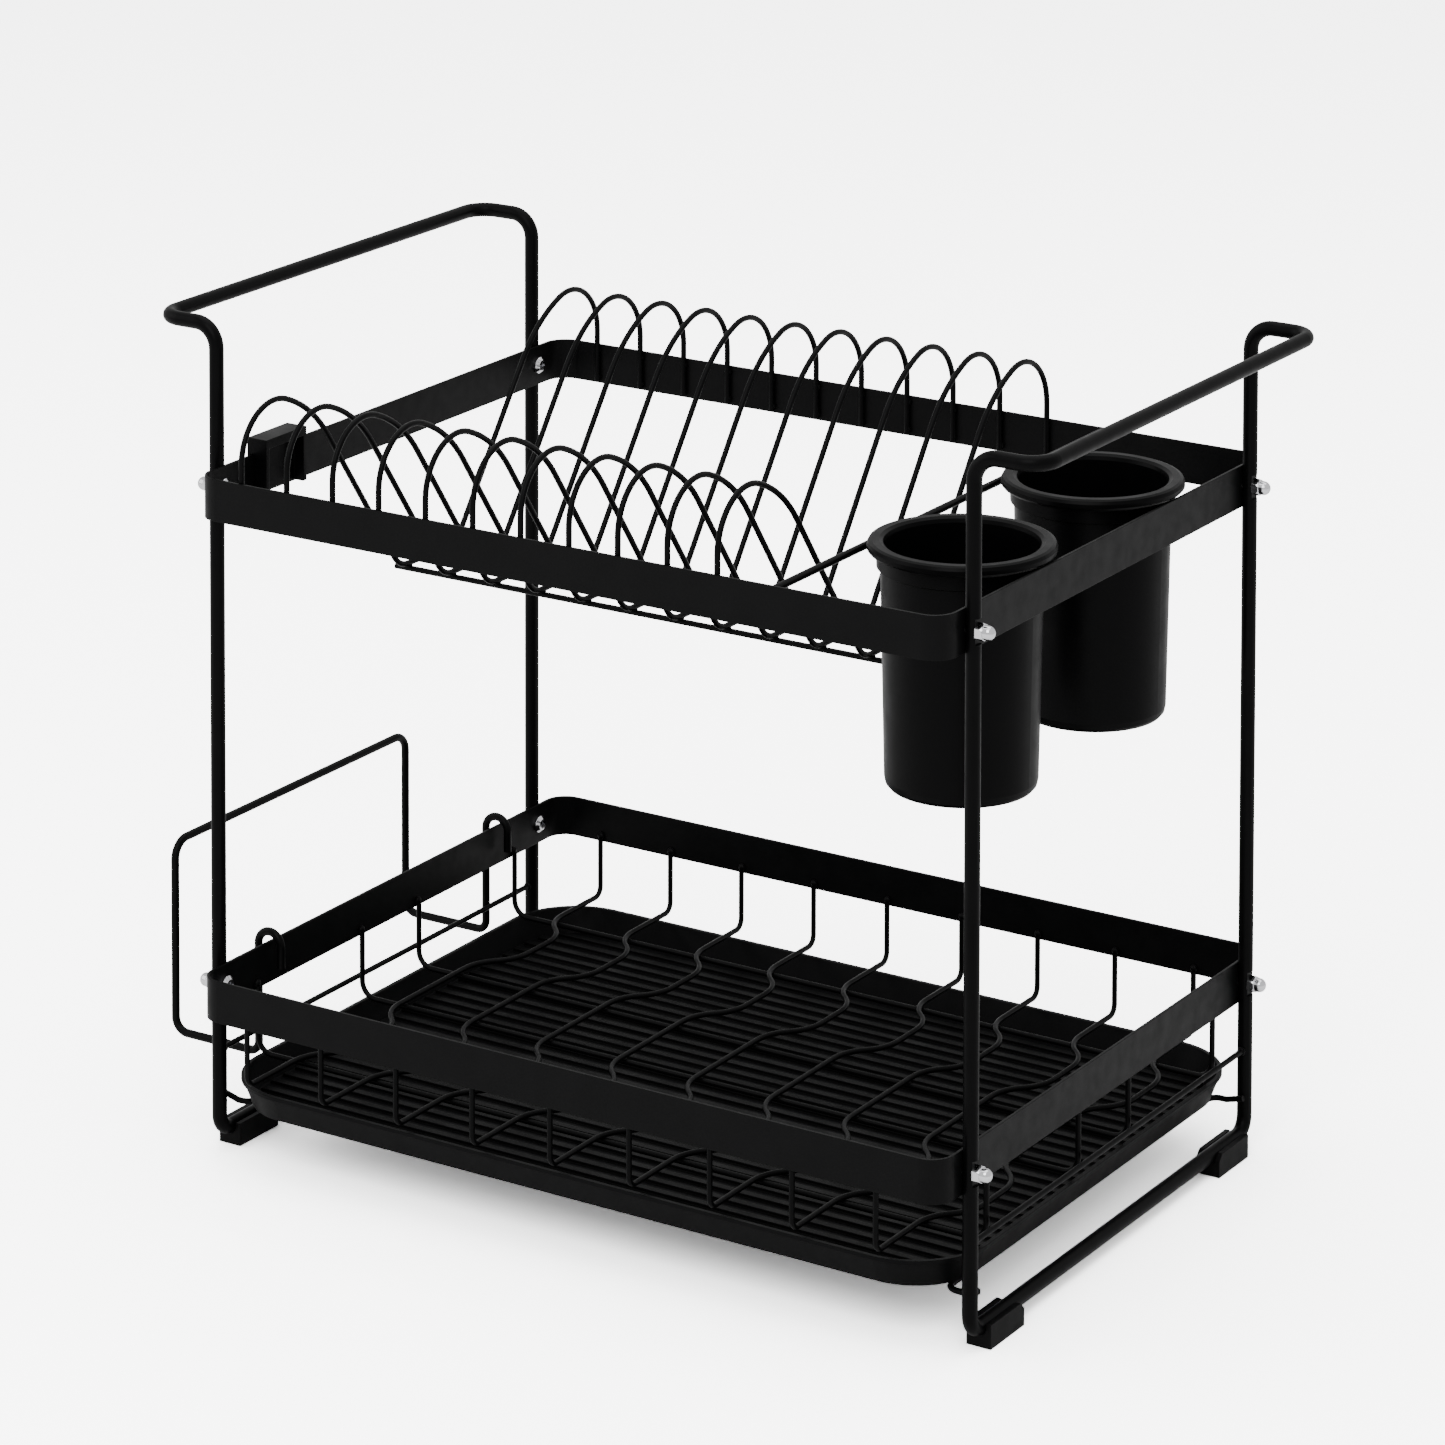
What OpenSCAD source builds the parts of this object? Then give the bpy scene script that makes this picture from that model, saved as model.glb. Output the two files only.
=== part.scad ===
// Two tier dish drying rack: two bent end frames carry two flat strip bands, plate wires,
// a wire basket, cutlery cups, a hook-on board holder and a pull-out drip tray.
// Millimetres. +Z is up, the long front side faces -Y, and the origin is on the floor under
// the centre of the whole rack's bounding box.

/* [End frames] */
// Diameter of the round bar the end frames are bent from
tube_d = 8; // [6:0.5:12]
// Distance of the post centre lines from the middle of the rack, along the long side
post_x = 231.7; // [180:0.1:300]
// Distance of the post centre lines from the middle of the rack, front to back
post_y = 148.6; // [100:0.1:200]
// Height of the base rail's centre line
rail_z = 10.2; // [8:0.1:20]
// Height of the handle's centre line
handle_z = 449.7; // [350:0.1:520]
// Distance of the handle's centre line from the middle of the rack
handle_x = 269.2; // [240:0.1:320]
// Bend radius of the bar at the bottom of the posts
bend_low = 9; // [6:1:20]
// Bend radius of the bar at the handle
bend_top = 13; // [8:1:18]
// Diameter of the bar that joins the two posts of an end frame
side_bar_d = 3; // [2:0.5:6]
// Height of the bar that joins the two posts of an end frame
side_bar_z = 55; // [40:1:75]

/* [Bands] */
// Half of the band's outer length
band_x = 228.5; // [180:0.5:290]
// Half of the band's outer depth
band_y = 172; // [120:0.5:220]
// Thickness of the steel strip
band_t = 1.5; // [1:0.1:3]
// Height of the steel strip
band_h = 22.5; // [15:0.5:35]
// Outer corner radius of the bands
band_r = 13; // [8:1:25]
// Height of the upper band's top edge
band_top_upper = 374; // [300:1:420]
// Height of the lower band's top edge
band_top_lower = 103; // [85:1:140]

/* [Plate wires] */
// Diameter of a plate wire
plate_d = 3.2; // [2:0.1:5]
// Position of the first plate wire along the long side
plate_x0 = -199.7; // [-210:0.1:-180]
// Distance between neighbouring plate wires
plate_pitch = 29.65; // [20:0.05:40]
// Height of the hump's centre line
hump_z = 412; // [390:1:450]
// Radius of the hump's centre line over the outer leg
hump_r = 29; // [20:1:45]
// Radius of the hump's centre line on its inner side
hump_r2 = 80; // [50:1:120]
// Slope where the two radii of the hump meet
hump_split = 20; // [10:1:35]
// Angle of the slanted leg below the horizontal
slant = 53.5; // [40:0.5:75]
// Height of the trough bottom's centre line
trough_z = 293; // [280:1:340]
// Bend radius where the slanted leg meets the trough bottom
trough_r = 16; // [4:1:20]
// Diameter of the rails under the trough
rail_d = 3.2; // [2:0.1:6]
// Diameter of the wire between the plates and the cups
divider_d = 4; // [3:0.1:6]
// Position of that wire along the long side
divider_x = 130.6; // [120:0.1:140]

/* [Cutlery cups] */
// Outer radius of the cup's rim
cup_rim_r = 48.4; // [40:0.1:50]
// Outer radius of the cup under its rim
cup_top_r = 41.5; // [35:0.1:47]
// Outer radius of the cup at its bottom
cup_bottom_r = 39.2; // [30:0.1:47]
// Height of the cup's bottom
cup_bottom_z = 253; // [220:1:300]
// Wall thickness of the cup
cup_wall = 2; // [1:0.1:3]
// Distance of the cup centres from the middle, front to back
cup_y = 69; // [55:0.5:85]

/* [Lower basket] */
// Diameter of the basket wires
basket_d = 3; // [2:0.1:5]
// Position of the first basket floor wire along the long side
floor_x0 = -197.4; // [-205:0.1:-180]
// Distance between neighbouring floor wires
floor_pitch = 48.4; // [30:0.1:55]
// Height of the floor wires' centre line
floor_z = 49; // [44:0.5:70]
// Sideways shift of a floor wire in its wavy parts
wave = 17; // [0:1:22]
// Distance of the outer cross wires from the middle
cross_y1 = 122; // [100:1:140]
// Distance of the inner cross wires from the middle
cross_y2 = 27; // [15:1:60]
// Bend radius of the cross wires
cross_r = 9; // [5:1:20]

/* [Drip tray] */
// Half of the tray's outer length at the rim
tray_x = 226.4; // [180:0.1:227]
// Half of the tray's outer depth at the rim
tray_y = 164.5; // [120:0.5:166]
// Height of the tray's underside
tray_z = 29.2; // [24:0.1:32]
// Height of the tray's rim
tray_top = 44.2; // [36:0.1:44.3]
// Thickness of the tray
tray_t = 1.8; // [1.2:0.1:3]
// Distance between the ridges on the tray's floor
ridge_pitch = 11; // [8:0.5:30]
// Number of ridges on each side of the middle one
ridges = 13; // [4:1:13]

/* [Board holder] */
// Diameter of the board holder's wire
holder_d = 4.5; // [3:0.1:6]
// Distance of the two hooks from the middle, front to back
holder_y = 108; // [80:1:130]
// Distance of the outer uprights from the middle of the rack
holder_x = 293; // [260:1:320]
// Height of the arms
holder_arm_z = 39.3; // [30:0.1:70]
// Height of the top bar
holder_top_z = 145; // [110:1:200]

/* [Feet] */
// Width of a foot
foot_w = 14; // [12:0.5:20]
// Length of a foot
foot_l = 34; // [20:1:60]
// Height of a foot
foot_h = 12.5; // [10:0.5:16]

/* [Hidden] */
tr = tube_d / 2;
// the whole rack is shifted so that the origin is under the middle of its bounding box
x_shift = ((holder_x + holder_d / 2) - (handle_x + tr)) / 2;
zu = band_top_upper - band_h / 2;
zl = band_top_lower - band_h / 2;
face_out = post_x + 2.7;
bead = 0.05;
sd = floor_z - basket_d + 0.2;
steel = [0.035, 0.035, 0.038];
plastic = [0.03, 0.03, 0.032];
shiny = [0.8, 0.8, 0.82];
$fn = 36;

function unit(v) = v / norm(v);
function side(z) = unit(abs(z[2]) < 0.9 ? cross([0, 0, 1], z) : cross([0, 1, 0], z));
function turn(a, b) = acos(max(-1, min(1, a * b)));
function dirs(p) = [for (i = [0 : len(p) - 2]) unit(p[i + 1] - p[i])];

module placed(o, x, y, z)
  multmatrix([[x[0], y[0], z[0], o[0]], [x[1], y[1], z[1], o[1]], [x[2], y[2], z[2], o[2]], [0, 0, 0, 1]])
    children();

module rod(a, b, r) {
  z = unit(b - a); x = side(z);
  placed(a, x, cross(z, x), z) cylinder(r = r, h = norm(b - a));
}

// quarter or part of a ring that turns a bar from direction d1 to direction d2 around corner p
module elbow(p, d1, d2, bend, r) {
  th = turn(d1, d2);
  n = unit(d2 - (d2 * d1) * d1);
  c = p - d1 * bend * tan(th / 2) + n * bend;
  placed(c, -n, d1, cross(-n, d1)) rotate_extrude(angle = th) translate([bend, 0]) circle(r = r);
}

// open bent bar through the points p, with bend radius q[i] at inner point i
module bent(p, q, r) {
  d = dirs(p); m = len(p) - 1;
  cut = [for (i = [0 : m]) (i == 0 || i == m) ? 0 : q[i] * tan(turn(d[i - 1], d[i]) / 2)];
  for (i = [0 : m - 1])
    if (norm(p[i + 1] - p[i]) - cut[i] - cut[i + 1] > 0.01)
      rod(p[i] + d[i] * cut[i], p[i + 1] - d[i] * cut[i + 1], r);
  for (i = [1 : m - 1]) {
    elbow(p[i], d[i - 1], d[i], q[i], r);
    // a bead closes the joint at both ends of a bend that isn't square
    if (abs(d[i - 1] * d[i]) > 0.001) {
      translate(p[i] - d[i - 1] * cut[i]) sphere(r = r + bead);
      translate(p[i] + d[i] * cut[i]) sphere(r = r + bead);
    }
  }
}

// a wire with tight knuckles at its shallow bends and rounded square ones
module knuckled(p, q, r) {
  d = dirs(p); m = len(p) - 1;
  for (i = [0 : m - 1]) rod(p[i] + d[i] * q[i], p[i + 1] - d[i] * q[i + 1], r);
  for (i = [1 : m - 1])
    if (q[i] > 0) elbow(p[i], d[i - 1], d[i], q[i], r);
    else translate(p[i]) sphere(r = r + 0.03);
}

// closed bent bar: the ends meet halfway along the first stretch
module loop(p, q, r) {
  m = (p[0] + p[1]) / 2;
  n = len(p);
  pts = concat([m], [for (i = [1 : n - 1]) p[i]], [p[0], m]);
  bent(pts, concat([0], [for (i = [1 : n - 1]) q[i]], [q[0], 0]), r);
}

module made(c) color(c) translate([x_shift, 0, 0]) children();

// ---------- end frames ----------
module frame_bar(s) difference() {
  loop([[s * post_x, post_y, rail_z], [s * post_x, -post_y, rail_z], [s * post_x, -post_y, handle_z],
        [s * handle_x, -post_y, handle_z], [s * handle_x, post_y, handle_z], [s * post_x, post_y, handle_z]],
       [bend_low, bend_low, bend_top, bend_top, bend_top, bend_top], tr);
  for (y = [-post_y, post_y], z = [zu, zl]) {
    // flat pressed for the dome nut
    translate([s * (face_out + 3), y, z]) cube([6, tube_d + 4, 13], center = true);
    // flat where the band lies against the bar
    translate([s * (band_x - 3), y, z]) cube([6, tube_d + 4, band_h + 1], center = true);
    translate([0, y, z]) rotate([0, s * 90, 0]) translate([0, 0, post_x - 12]) cylinder(r = 2.6, h = 24);
  }
}
module left_end_frame() made(steel) frame_bar(-1);
module right_end_frame() made(steel) frame_bar(1);

module side_bar(s) rod([s * post_x, -post_y + tr - 0.2, side_bar_z], [s * post_x, post_y - tr + 0.2, side_bar_z], side_bar_d / 2);
module left_side_bar() made(steel) side_bar(-1);
module right_side_bar() made(steel) side_bar(1);

module tray_support(s) {
  y = post_y - tr - 1.6 + 0.15; z = tray_z - 0.3 - 1.6;
  knuckled([[s * (post_x + 2), -y, z + 2.6], [s * 223.5, -y, z], [s * 215, -y, z], [s * 215, y, z],
            [s * 223.5, y, z], [s * (post_x + 2), y, z + 2.6]],
           [0, 0, 6, 6, 0, 0], 1.6);
}
module left_tray_support() made(steel) tray_support(-1);
module right_tray_support() made(steel) tray_support(1);

// ---------- feet: blocks clipped on the base rails from below ----------
module foot(sx, sy) translate([sx * post_x, sy * (post_y - 8.6 - foot_l / 2), 0]) difference() {
  translate([-foot_w / 2, -foot_l / 2, 0]) cube([foot_w, foot_l, foot_h]);
  translate([0, -foot_l / 2 - 1, rail_z]) rotate([-90, 0, 0]) cylinder(r = tr + 0.05, h = foot_l + 2);
  translate([-tr - 0.05, -foot_l / 2 - 1, rail_z]) cube([tube_d + 0.1, foot_l + 2, 10]);
  // the inner end of each side wall slopes down
  for (e = [-1, 1]) translate([e * (foot_w / 2 - 1.45), -sy * foot_l / 2, foot_h]) rotate([sy * 45, 0, 0]) cube([3.4, 5, 5], center = true);
}
module foot_front_left() made(plastic) foot(-1, -1);
module foot_front_right() made(plastic) foot(1, -1);
module foot_rear_left() made(plastic) foot(-1, 1);
module foot_rear_right() made(plastic) foot(1, 1);

// ---------- bands ----------
module slab(x, y, r, h) {
  translate([-x, -y + r, 0]) cube([2 * x, 2 * (y - r), h]);
  translate([-x + r, -y, 0]) cube([2 * (x - r), 2 * y, h]);
  for (a = [-1, 1], b = [-1, 1]) translate([a * (x - r), b * (y - r), 0]) cylinder(r = r, h = h);
}
module band(top) difference() {
  translate([0, 0, top - band_h]) slab(band_x, band_y, band_r, band_h);
  translate([0, 0, top - band_h - 1]) slab(band_x - band_t, band_y - band_t, band_r - band_t, band_h + 2);
  for (y = [-post_y, post_y], s = [-1, 1])
    translate([s * (band_x - 4), y, top - band_h / 2]) rotate([0, s * 90, 0]) cylinder(r = 2.6, h = 8);
}
module upper_band() made(steel) band(band_top_upper);
module lower_band() made(steel) band(band_top_lower);

// ---------- plate wires: one M-shaped wire in each plane ----------
leg_y = band_y - band_t - plate_d / 2 + 0.15;
hc_y = leg_y - hump_r;
hc_z = hump_z - hump_r;
// where the hump ends and the slanted leg starts, and the corner of the slanted leg with the trough bottom
split_y = hc_y - hump_r * sin(hump_split);
split_z = hc_z + hump_r * cos(hump_split);
hc2_y = split_y + hump_r2 * sin(hump_split);
hc2_z = split_z - hump_r2 * cos(hump_split);
hump_end_y = hc2_y - hump_r2 * sin(slant);
hump_end_z = hc2_z + hump_r2 * cos(slant);
trough_y = hump_end_y - (hump_end_z - trough_z) / tan(slant);
module plate_wire(x) {
  r = plate_d / 2;
  for (s = [-1, 1]) {
    rod([x, s * leg_y, band_top_upper - band_h + 1.5], [x, s * leg_y, hc_z], r);
    placed([x, s * hc_y, hc_z], [0, s, 0], [0, 0, 1], [s, 0, 0])
      rotate_extrude(angle = 90 + hump_split) translate([hump_r, 0]) circle(r = r);
    placed([x, s * hc2_y, hc2_z], [0, -s * sin(hump_split), cos(hump_split)], [0, -s * cos(hump_split), -sin(hump_split)], [s, 0, 0])
      rotate_extrude(angle = slant - hump_split) translate([hump_r2, 0]) circle(r = r);
    translate([x, s * split_y, split_z]) sphere(r = r + bead);
    translate([x, s * hump_end_y, hump_end_z]) sphere(r = r + bead);
  }
  pts = [[x, -hump_end_y, hump_end_z], [x, -trough_y, trough_z], [x, trough_y, trough_z], [x, hump_end_y, hump_end_z]];
  bent(pts, [0, trough_r, trough_r, 0], r);
}
module plate_wire_1() made(steel) plate_wire(plate_x0);
module plate_wire_2() made(steel) plate_wire(plate_x0 + plate_pitch);
module plate_wire_3() made(steel) plate_wire(plate_x0 + 2 * plate_pitch);
module plate_wire_4() made(steel) plate_wire(plate_x0 + 3 * plate_pitch);
module plate_wire_5() made(steel) plate_wire(plate_x0 + 4 * plate_pitch);
module plate_wire_6() made(steel) plate_wire(plate_x0 + 5 * plate_pitch);
module plate_wire_7() made(steel) plate_wire(plate_x0 + 6 * plate_pitch);
module plate_wire_8() made(steel) plate_wire(plate_x0 + 7 * plate_pitch);
module plate_wire_9() made(steel) plate_wire(plate_x0 + 8 * plate_pitch);
module plate_wire_10() made(steel) plate_wire(plate_x0 + 9 * plate_pitch);
module plate_wire_11() made(steel) plate_wire(plate_x0 + 10 * plate_pitch);

module trough_rail(s) {
  z = trough_z - plate_d / 2 - rail_d / 2 + 0.15;
  rod([plate_x0 - 9, s * (trough_y - 9), z], [plate_x0 + 10 * plate_pitch + 9, s * (trough_y - 9), z], rail_d / 2);
}
module trough_rail_front() made(steel) trough_rail(-1);
module trough_rail_rear() made(steel) trough_rail(1);

module divider_wire() made(steel) {
  y = band_y - band_t + 0.15;
  rod([divider_x, -y, band_top_upper - divider_d / 2], [divider_x, y, band_top_upper - divider_d / 2], divider_d / 2);
}

// ---------- cutlery cups hung by the rim between the divider wire and the band ----------
cup_x = (divider_x + divider_d / 2 + band_x - band_t) / 2;
rim_z = band_top_upper + 0.3;
module cup(y) translate([cup_x, y, 0]) rotate_extrude($fn = 72) polygon([
  [0, cup_bottom_z], [cup_bottom_r - 5, cup_bottom_z], [cup_bottom_r - 2.2, cup_bottom_z + 0.8],
  [cup_bottom_r - 0.6, cup_bottom_z + 2.6], [cup_bottom_r, cup_bottom_z + 5.5],
  [cup_top_r, rim_z - 9], [cup_top_r + 2.0, rim_z - 8], [cup_top_r + 2.2, rim_z - 1.5], [cup_top_r + 4, rim_z],
  [cup_rim_r - 1, rim_z], [cup_rim_r, rim_z + 1.2], [cup_rim_r, rim_z + 3.2], [cup_rim_r - 0.9, rim_z + 4.8], [cup_rim_r - 2.6, rim_z + 5.4],
  [cup_top_r - cup_wall + 2.6, rim_z + 5.4], [cup_top_r - cup_wall + 0.6, rim_z + 4.4], [cup_top_r - cup_wall, rim_z + 2.4],
  [cup_bottom_r - cup_wall, cup_bottom_z + 6], [cup_bottom_r - cup_wall - 3, cup_bottom_z + 2.2], [0, cup_bottom_z + 2.2]]);
module cutlery_cup_front() made(plastic) cup(-cup_y);
module cutlery_cup_rear() made(plastic) cup(cup_y);

// ---------- saddle clipped over the left side of the upper band ----------
module band_clip() made(plastic) translate([-band_x, -123, 0]) difference() {
  translate([-2.6, 0, band_top_upper - 21]) cube([13, 36, 30]);
  translate([-0.1, -1, band_top_upper - 30]) cube([band_t + 0.2, 38, 30.1]);
  translate([-5, -1, band_top_upper - 30]) cube([5.1, 38, 20]);
  translate([band_t + 2.6, 3, band_top_upper - 25]) cube([12, 30, 29]);
}

// ---------- lower basket ----------
module floor_wire(x) {
  r = basket_d / 2; y = band_y - band_t - r + 0.15; zt = band_top_lower - band_h + 2;
  w = x + wave; z = floor_z;
  knuckled([[x, -y, zt], [x, -y, z], [x, -118, z], [w, -101, z], [w, -59, z], [x, -42, z],
        [x, 42, z], [w, 59, z], [w, 101, z], [x, 118, z], [x, y, z], [x, y, zt]],
       [0, 4, 0, 0, 0, 0, 0, 0, 0, 0, 4, 0], r);
}
module floor_wire_1() made(steel) floor_wire(floor_x0);
module floor_wire_2() made(steel) floor_wire(floor_x0 + floor_pitch);
module floor_wire_3() made(steel) floor_wire(floor_x0 + 2 * floor_pitch);
module floor_wire_4() made(steel) floor_wire(floor_x0 + 3 * floor_pitch);
module floor_wire_5() made(steel) floor_wire(floor_x0 + 4 * floor_pitch);
module floor_wire_6() made(steel) floor_wire(floor_x0 + 5 * floor_pitch);
module floor_wire_7() made(steel) floor_wire(floor_x0 + 6 * floor_pitch);
module floor_wire_8() made(steel) floor_wire(floor_x0 + 7 * floor_pitch);
module floor_wire_9() made(steel) floor_wire(floor_x0 + 8 * floor_pitch);

module cross_wire(y) {
  r = basket_d / 2; x = band_x - band_t - r + 0.15; zt = band_top_lower - band_h + 2;
  bent([[-x, y, zt], [-x, y, sd], [x, y, sd], [x, y, zt]], [0, cross_r, cross_r, 0], r);
}
module cross_wire_1() made(steel) cross_wire(-cross_y1);
module cross_wire_2() made(steel) cross_wire(-cross_y2);
module cross_wire_3() made(steel) cross_wire(cross_y2);
module cross_wire_4() made(steel) cross_wire(cross_y1);

// ---------- board holder: one wire that hooks over the left side of the lower band ----------
module board_holder() made(steel) {
  a = band_x + 7.5; b = a - 15.1; t = 107.65; y = holder_y;
  bent([[-b, -y, 88.7], [-b, -y, t], [-a, -y, t], [-a, -y, holder_arm_z], [-holder_x, -y, holder_arm_z],
        [-holder_x, -y, holder_top_z], [-holder_x, y, holder_top_z], [-holder_x, y, holder_arm_z],
        [-a, y, holder_arm_z], [-a, y, t], [-b, y, t], [-b, y, 88.7]],
       [0, 7.5, 7.5, 6, 8, 10, 10, 8, 6, 7.5, 7.5, 0], holder_d / 2);
}

// ---------- drip tray ----------
module pan(x0, y0, r0, z0, flare, h) {
  // rounded box that widens by flare over its height h
  cx = x0 - r0; cy = y0 - r0;
  translate([0, cy, z0]) rotate([90, 0, 0]) linear_extrude(2 * cy)
    polygon([[-x0, 0], [x0, 0], [x0 + flare, h], [-x0 - flare, h]]);
  translate([-cx, 0, z0]) rotate([90, 0, 90]) linear_extrude(2 * cx)
    polygon([[-y0, 0], [y0, 0], [y0 + flare, h], [-y0 - flare, h]]);
  for (a = [-1, 1], b = [-1, 1]) translate([a * cx, b * cy, z0]) cylinder(r1 = r0, r2 = r0 + flare, h = h);
}
module drip_tray() made(plastic) {
  hh = tray_top - 2 - tray_z;
  difference() {
    union() {
      pan(tray_x - 6, tray_y - 6, 36, tray_z, 5, hh);
      translate([0, 0, tray_top - 2]) slab(tray_x, tray_y, 42, 2);
    }
    pan(tray_x - 6 - tray_t, tray_y - 6 - tray_t, 36 - tray_t, tray_z + tray_t, 5.6, tray_top - tray_z - tray_t + 0.2);
  }
  // the ridges run up to the foot of the wall and follow the rounded corners
  fx = tray_x - 6 - tray_t; fy = tray_y - 6 - tray_t; fr = 36 - tray_t;
  for (k = [-ridges : ridges]) {
    e = max(0, abs(k) * ridge_pitch + 2 - (fy - fr));
    hx = fx - fr + sqrt(fr * fr - e * e) - 1.6;
    translate([-hx, k * ridge_pitch - 2, tray_z + tray_t - 0.3]) cube([2 * hx, 4, 1.9]);
  }
}

// ---------- screws and dome nuts ----------
module screw(s, y, z) translate([s * (band_x - band_t), y, z]) rotate([0, s * 90, 0]) difference() {
  union() {
    translate([0, 0, -1.2]) cylinder(r = 4.75, h = 1.2);
    translate([0, 0, -2.9]) cylinder(r1 = 3.1, r2 = 4.75, h = 1.7);
    cylinder(r = 2.5, h = 13);
  }
  for (q = [0, 90]) rotate([0, 0, q]) translate([-2.4, -0.4, -4]) cube([4.8, 0.8, 2.6]);
}
module dome_nut(s, y, z) translate([s * face_out, y, z]) rotate([0, s * 90, 0]) difference() {
  union() {
    intersection() {
      cylinder(r = 4.62, h = 4, $fn = 6);
      cylinder(r1 = 5.6, r2 = 4.1, h = 4);
    }
    cylinder(r = 3.7, h = 5.6);
    translate([0, 0, 5.6]) sphere(r = 3.7);
  }
  translate([0, 0, -1]) cylinder(r = 2.55, h = 7.6);
}
module upper_screws() made(shiny) for (s = [-1, 1], y = [-post_y, post_y]) screw(s, y, zu);
module lower_screws() made(shiny) for (s = [-1, 1], y = [-post_y, post_y]) screw(s, y, zl);
module upper_dome_nuts() made(shiny) for (s = [-1, 1], y = [-post_y, post_y]) dome_nut(s, y, zu);
module lower_dome_nuts() made(shiny) for (s = [-1, 1], y = [-post_y, post_y]) dome_nut(s, y, zl);

left_end_frame();
right_end_frame();
left_side_bar();
right_side_bar();
left_tray_support();
right_tray_support();
foot_front_left();
foot_front_right();
foot_rear_left();
foot_rear_right();
upper_band();
lower_band();
plate_wire_1();
plate_wire_2();
plate_wire_3();
plate_wire_4();
plate_wire_5();
plate_wire_6();
plate_wire_7();
plate_wire_8();
plate_wire_9();
plate_wire_10();
plate_wire_11();
trough_rail_front();
trough_rail_rear();
divider_wire();
cutlery_cup_front();
cutlery_cup_rear();
band_clip();
floor_wire_1();
floor_wire_2();
floor_wire_3();
floor_wire_4();
floor_wire_5();
floor_wire_6();
floor_wire_7();
floor_wire_8();
floor_wire_9();
cross_wire_1();
cross_wire_2();
cross_wire_3();
cross_wire_4();
board_holder();
drip_tray();
upper_screws();
upper_dome_nuts();
lower_screws();
lower_dome_nuts();
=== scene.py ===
import math
import random

import bpy
from mathutils import Matrix, Vector


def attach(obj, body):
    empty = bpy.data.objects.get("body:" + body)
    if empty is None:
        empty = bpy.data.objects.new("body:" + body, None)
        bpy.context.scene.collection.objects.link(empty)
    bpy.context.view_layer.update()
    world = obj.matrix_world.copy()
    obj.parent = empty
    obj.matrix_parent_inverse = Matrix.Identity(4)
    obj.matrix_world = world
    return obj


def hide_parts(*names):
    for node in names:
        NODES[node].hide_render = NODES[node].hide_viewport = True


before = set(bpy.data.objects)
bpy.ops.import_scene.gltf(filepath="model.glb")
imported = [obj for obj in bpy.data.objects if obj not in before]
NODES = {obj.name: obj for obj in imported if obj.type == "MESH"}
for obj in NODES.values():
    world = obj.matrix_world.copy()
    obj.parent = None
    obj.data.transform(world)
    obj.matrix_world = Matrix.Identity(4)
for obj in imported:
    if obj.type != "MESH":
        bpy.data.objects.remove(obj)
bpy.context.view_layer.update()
DX = 0.011025
random.seed(7)


# ------------------------------------------------------------------ materials
class Tree:
    def __init__(self, name):
        self.m = bpy.data.materials.new(name)
        self.m.use_nodes = True
        self.t = self.m.node_tree
        self.t.nodes.clear()
        self.out = self.n("ShaderNodeOutputMaterial")
        self.b = self.n("ShaderNodeBsdfPrincipled")
        self.t.links.new(self.b.outputs["BSDF"], self.out.inputs["Surface"])
        self.pos = self.n("ShaderNodeTexCoord").outputs["Object"]

    def n(self, kind, **kw):
        node = self.t.nodes.new(kind)
        for k, v in kw.items():
            setattr(node, k, v)
        return node

    def link(self, a, b):
        self.t.links.new(a, b)

    def noise(self, scale, detail=3.0, rough=0.5, vec=None):
        node = self.n("ShaderNodeTexNoise")
        node.inputs["Scale"].default_value = scale
        node.inputs["Detail"].default_value = detail
        node.inputs["Roughness"].default_value = rough
        self.link(vec or self.pos, node.inputs["Vector"])
        return node.outputs["Fac"]

    def ramp(self, fac, stops):
        node = self.n("ShaderNodeMapRange")
        (a, b), (c, d) = stops
        node.inputs["From Min"].default_value = a
        node.inputs["From Max"].default_value = b
        node.inputs["To Min"].default_value = c
        node.inputs["To Max"].default_value = d
        self.link(fac, node.inputs["Value"])
        return node.outputs["Result"]

    def mix(self, fac, a, b):
        node = self.n("ShaderNodeMix", data_type="RGBA")
        for s, v in ((6, a), (7, b)):
            if isinstance(v, tuple):
                node.inputs[s].default_value = (*v, 1)
            else:
                self.link(v, node.inputs[s])
        self.link(fac, node.inputs[0])
        return node.outputs[2]

    def bump(self, height, strength, distance, edge=0.0):
        node = self.n("ShaderNodeBump")
        if edge > 0:
            round_edge = self.n("ShaderNodeBevel")
            round_edge.samples = 6
            round_edge.inputs["Radius"].default_value = edge
            self.link(round_edge.outputs["Normal"], node.inputs["Normal"])
        node.inputs["Strength"].default_value = strength
        node.inputs["Distance"].default_value = distance
        self.link(height, node.inputs["Height"])
        self.link(node.outputs["Normal"], self.b.inputs["Normal"])


def powder(name, base, rough, level, coat=0.0, edge=0.0):
    t = Tree(name)
    large = t.noise(45, 3)
    colour = t.mix(t.ramp(large, ((0.35, 0.65), (0.0, 1.0))), tuple(c * 0.85 for c in base), tuple(c * 1.15 for c in base))
    t.link(colour, t.b.inputs["Base Color"])
    t.link(t.ramp(t.noise(120, 4), ((0.3, 0.7), (rough - 0.05, rough + 0.06))), t.b.inputs["Roughness"])
    t.b.inputs["Specular IOR Level"].default_value = level
    t.b.inputs["Coat Weight"].default_value = coat
    t.b.inputs["Coat Roughness"].default_value = 0.22
    t.bump(t.noise(1400, 2), 0.10, 0.0002, edge)
    return t.m


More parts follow.
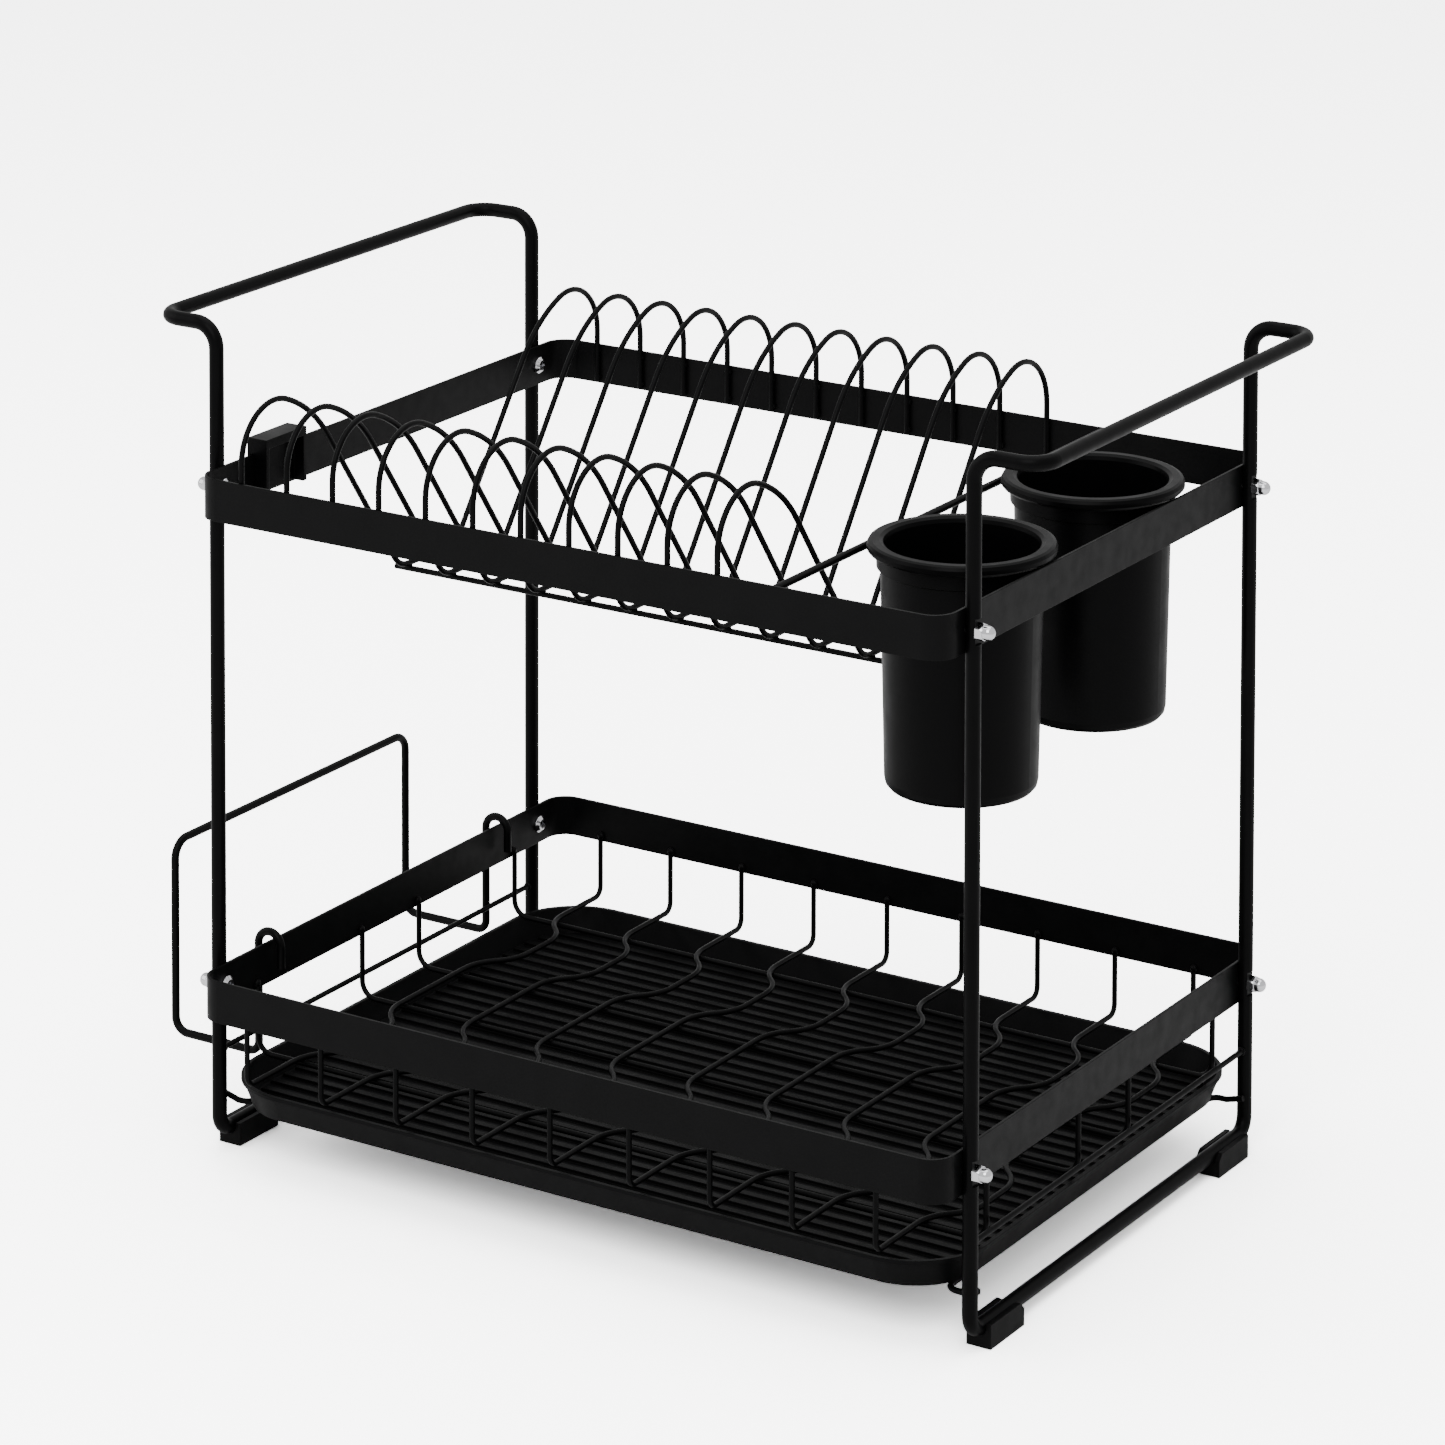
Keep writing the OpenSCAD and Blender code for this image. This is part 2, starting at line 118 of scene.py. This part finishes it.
def moulded(name, base, rough, level, edge=0.0):
    t = Tree(name)
    large = t.noise(30, 2)
    colour = t.mix(t.ramp(large, ((0.3, 0.7), (0.0, 1.0))), tuple(c * 0.9 for c in base), tuple(c * 1.1 for c in base))
    t.link(colour, t.b.inputs["Base Color"])
    t.link(t.ramp(t.noise(80, 3), ((0.3, 0.7), (rough - 0.04, rough + 0.05))), t.b.inputs["Roughness"])
    t.b.inputs["Specular IOR Level"].default_value = level
    t.bump(t.noise(2200, 2), 0.08, 0.00015, edge)
    return t.m


def plated(name):
    t = Tree(name)
    t.b.inputs["Metallic"].default_value = 1.0
    t.link(t.mix(t.noise(60, 2), (0.60, 0.60, 0.62), (0.72, 0.72, 0.74)), t.b.inputs["Base Color"])
    t.link(t.ramp(t.noise(300, 3), ((0.3, 0.7), (0.08, 0.16))), t.b.inputs["Roughness"])
    return t.m


STEEL = powder("powder_black", (0.0014, 0.0014, 0.0015), 0.36, 0.05)
BAND = powder("band_black", (0.0020, 0.0020, 0.0021), 0.42, 0.07, edge=0.0006)
WIRE = powder("wire_black", (0.0014, 0.0014, 0.0015), 0.36, 0.06)
PLASTIC = moulded("plastic_black", (0.0010, 0.0010, 0.0011), 0.36, 0.05)
TRAY = moulded("tray_black", (0.0016, 0.0016, 0.0017), 0.46, 0.06, edge=0.0008)
FOOT = moulded("foot_black", (0.0018, 0.0018, 0.0019), 0.55, 0.08)
CHROME = plated("chrome")


def paint(obj, mat):
    obj.data.materials.clear()
    obj.data.materials.append(mat)


def material_of(name):
    if "band_clip" in name or name.startswith("cutlery_cup"):
        return PLASTIC
    if name.endswith("_band"):
        return BAND
    if name == "drip_tray":
        return TRAY
    if name.startswith("foot"):
        return FOOT
    if "screws" in name or "dome_nuts" in name:
        return CHROME
    if "wire" in name or "rail_" in name or name == "board_holder":
        return WIRE
    return STEEL


def soften(o, width, segments=2, limit=35):
    weld = o.modifiers.new("weld", "WELD")
    weld.merge_threshold = 0.000004
    bevel = o.modifiers.new("edge", "BEVEL")
    bevel.width = width
    bevel.segments = segments
    bevel.limit_method = "ANGLE"
    bevel.angle_limit = math.radians(limit)
    bevel.harden_normals = True
    normals = o.modifiers.new("normals", "WEIGHTED_NORMAL")
    normals.keep_sharp = True
    normals.weight = 80


EDGES = {"band_clip": 0.0007}
for name, o in NODES.items():
    paint(o, material_of(name))
    for p in o.data.polygons:
        p.use_smooth = True
    if name in EDGES:
        soften(o, EDGES[name])
    elif name.startswith("foot"):
        soften(o, 0.0012, 3)
    elif "screws" in name or "dome_nuts" in name:
        soften(o, 0.00018, 2)


# ------------------------------------------------------------------ smooth floor wires
def rounded(points, radii, steps=10):
    """A polyline whose corners are turned into arcs; millimetres in, metres out."""
    pts = [Vector(p) for p in points]
    out = [pts[0]]
    for i in range(1, len(pts) - 1):
        a = (pts[i - 1] - pts[i]).normalized()
        b = (pts[i + 1] - pts[i]).normalized()
        half = a.angle(b) / 2
        cut_len = radii[i] / math.tan(half)
        centre = pts[i] + (a + b).normalized() * (radii[i] / math.sin(half))
        va, vb = pts[i] + a * cut_len - centre, pts[i] + b * cut_len - centre
        turn = va.angle(vb)
        for k in range(steps + 1):
            u = k / steps
            w = (va * math.sin((1 - u) * turn) + vb * math.sin(u * turn)) / math.sin(turn)
            out.append(centre + w)
    out.append(pts[-1])
    return [p / 1000 for p in out]


def wire(name, points, radius):
    curve = bpy.data.curves.new(name, "CURVE")
    curve.dimensions = "3D"
    curve.bevel_depth = radius / 1000
    curve.bevel_resolution = 5
    curve.use_fill_caps = True
    line = curve.splines.new("POLY")
    line.points.add(len(points) - 1)
    for point, q in zip(line.points, points):
        point.co = (*q, 1)
    line.use_smooth = True
    o = bpy.data.objects.new(name, curve)
    bpy.context.scene.collection.objects.link(o)
    curve.materials.append(WIRE)
    return o


SHIFT = DX * 1000
for i in range(9):
    x = -197.4 + 48.4 * i + SHIFT
    w, z, y, zt = x + 17, 49.0, 172 - 1.5 - 1.5 + 0.15, 103 - 22.5 + 2
    path = [(x, -y, zt), (x, -y, z), (x, -118, z), (w, -101, z), (w, -59, z), (x, -42, z),
            (x, 42, z), (w, 59, z), (w, 101, z), (x, 118, z), (x, y, z), (x, y, zt)]
    o = wire("floor_wire_%d_smooth" % (i + 1), rounded(path, [0, 5.5, 27, 27, 27, 27, 27, 27, 27, 27, 5.5, 0]), 1.5)
    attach(o, "rack")
    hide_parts("floor_wire_%d" % (i + 1))


# ------------------------------------------------------------------ weld beads
def blobs(name, spots):
    """One mesh of small ellipsoids: (centre, half sizes) in millimetres."""
    verts, faces = [], []
    rings, segs = 7, 12
    for (cx, cy, cz), (rx, ry, rz) in spots:
        base = len(verts)
        for i in range(rings + 1):
            th = math.pi * i / rings
            for k in range(segs):
                ph = 2 * math.pi * k / segs
                verts.append(((cx + rx * math.sin(th) * math.cos(ph)) / 1000, (cy + ry * math.sin(th) * math.sin(ph)) / 1000,
                              (cz + rz * math.cos(th)) / 1000))
        for i in range(rings):
            for k in range(segs):
                a, b = base + i * segs + k, base + i * segs + (k + 1) % segs
                faces.append((a, b, b + segs, a + segs))
    mesh = bpy.data.meshes.new(name)
    mesh.from_pydata(verts, [], faces)
    mesh.validate()
    for p in mesh.polygons:
        p.use_smooth = True
    o = bpy.data.objects.new(name, mesh)
    bpy.context.scene.collection.objects.link(o)
    paint(o, WIRE)
    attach(o, "rack")
    return o


spots = []
for i in range(11):
    x = -199.7 + 29.65 * i + SHIFT
    for s in (-1, 1):
        for z in (370.6, 355.5):
            spots.append(((x + random.uniform(-0.2, 0.2), s * 169.6, z), (random.uniform(2.1, 2.5), 1.5, random.uniform(1.5, 2.0))))
        spots.append(((x, s * 18.0, 291.6), (1.9, 2.0, 1.1)))
for i in range(9):
    x = -197.4 + 48.4 * i + SHIFT
    for s in (-1, 1):
        spots.append(((x, s * 169.6, 84.0), (random.uniform(2.1, 2.5), 1.5, 2.0)))
    for y in (-122, -27, 27, 122):
        spots.append(((x, y, 47.6), (2.0, 2.0, 1.0)))
for y in (-122, -27, 27, 122):
    for s in (-1, 1):
        spots.append(((s * 226.1 + SHIFT, y, 84.0), (1.5, 2.3, 2.0)))
for s in (-1, 1):
    for t in (-1, 1):
        spots.append(((s * 231.7 + SHIFT, t * 144.2, 55.0), (2.4, 1.5, 2.4)))
blobs("weld_beads", spots)

# ------------------------------------------------------------------ stage
def floor_material(name, colour, gain):
    """Pale matt floor; the camera sees it exposed brighter, as on a studio sweep."""
    t = Tree(name)
    t.link(t.mix(t.noise(2, 2), colour, tuple(c * 1.005 for c in colour)), t.b.inputs["Base Color"])
    t.b.inputs["Roughness"].default_value = 0.9
    t.b.inputs["Specular IOR Level"].default_value = 0.1
    path = t.n("ShaderNodeLightPath")
    bright = t.n("ShaderNodeBsdfDiffuse")
    bright.inputs["Color"].default_value = (gain, gain, gain, 1)
    either = t.n("ShaderNodeMixShader")
    t.link(path.outputs["Is Camera Ray"], either.inputs[0])
    t.link(t.b.outputs["BSDF"], either.inputs[1])
    t.link(bright.outputs["BSDF"], either.inputs[2])
    t.link(either.outputs["Shader"], t.out.inputs["Surface"])
    return t.m


floor_mesh = bpy.data.meshes.new("floor")
R = 14.0
floor_mesh.from_pydata([(-R, -R, 0), (R, -R, 0), (R, R, 0), (-R, R, 0)], [], [(0, 1, 2, 3)])
floor = bpy.data.objects.new("floor", floor_mesh)
bpy.context.scene.collection.objects.link(floor)
paint(floor, floor_material("pale_floor", (0.90, 0.90, 0.90), 4.4))


def area(name, where, target, sx, sy, watts, colour=(1, 1, 1)):
    light = bpy.data.lights.new(name, "AREA")
    light.shape = "RECTANGLE"
    light.size, light.size_y = sx, sy
    light.energy = watts
    light.color = colour
    o = bpy.data.objects.new(name, light)
    bpy.context.scene.collection.objects.link(o)
    o.location = where
    o.rotation_mode = "QUATERNION"
    o.rotation_quaternion = (Vector(target) - Vector(where)).to_track_quat("-Z", "Y")
    return o


area("key", (0.9, -2.6, 2.8), (0, 0, 0.2), 2.2, 2.2, 60)
area("fill", (-2.6, -1.6, 1.6), (0, 0, 0.2), 2.4, 2.4, 30)
area("top", (0.0, 0.3, 3.2), (0, 0, 0.2), 3.0, 3.0, 50)

world = bpy.data.worlds.new("studio")
bpy.context.scene.world = world
world.use_nodes = True
bg = world.node_tree.nodes["Background"]
bg.inputs["Color"].default_value = (1, 1, 1, 1)
bg.inputs["Strength"].default_value = 1.0
seen = world.node_tree.nodes.new("ShaderNodeBackground")
seen.inputs["Color"].default_value = (1, 1, 1, 1)
seen.inputs["Strength"].default_value = 5.6
ray = world.node_tree.nodes.new("ShaderNodeLightPath")
pick = world.node_tree.nodes.new("ShaderNodeMixShader")
world.node_tree.links.new(ray.outputs["Is Camera Ray"], pick.inputs[0])
world.node_tree.links.new(bg.outputs["Background"], pick.inputs[1])
world.node_tree.links.new(seen.outputs["Background"], pick.inputs[2])
world.node_tree.links.new(pick.outputs["Shader"], world.node_tree.nodes["World Output"].inputs["Surface"])

# ------------------------------------------------------------------ camera
AZ, PITCH, ROLL = 0.564, 0.069, -0.002
FPX, CX, CY, W = 5462.65, 722.0, -679.209, 1445.0
d = Vector((-math.sin(AZ) * math.cos(PITCH), math.cos(AZ) * math.cos(PITCH), -math.sin(PITCH)))
r = Vector((math.cos(AZ), math.sin(AZ), 0))
dn = d.cross(r)
r2 = r * math.cos(ROLL) + dn * math.sin(ROLL)
dn2 = dn * math.cos(ROLL) - r * math.sin(ROLL)
cam_data = bpy.data.cameras.new("camera")
cam = bpy.data.objects.new("camera", cam_data)
bpy.context.scene.collection.objects.link(cam)
# The picture is the lower part of a larger upright view, so the lens looks past its middle.
# The slanted axis below does that, and the lens itself is left unshifted.
up, back = -dn2, -d
F, SX, SY = 36.0 * FPX / W, 36.0 * (W / 2 - CX) / W, 36.0 * (CY - W / 2) / W
axis = back - r2 * (SX / F) - up * (SY / F)
cam_data.sensor_width = 36.0
cam_data.lens = F * axis.length
cam_data.clip_start = 0.05
cam_data.clip_end = 60
axis.normalize()
stand = bpy.data.objects.new("camera_stand", None)
bpy.context.scene.collection.objects.link(stand)
cam.parent = stand
cam.matrix_parent_inverse = Matrix(((r2.x, up.x, axis.x, 1.523613 + DX), (r2.y, up.y, axis.y, -2.422731), (r2.z, up.z, axis.z, 1.182925), (0, 0, 0, 1)))
bpy.context.scene.camera = cam
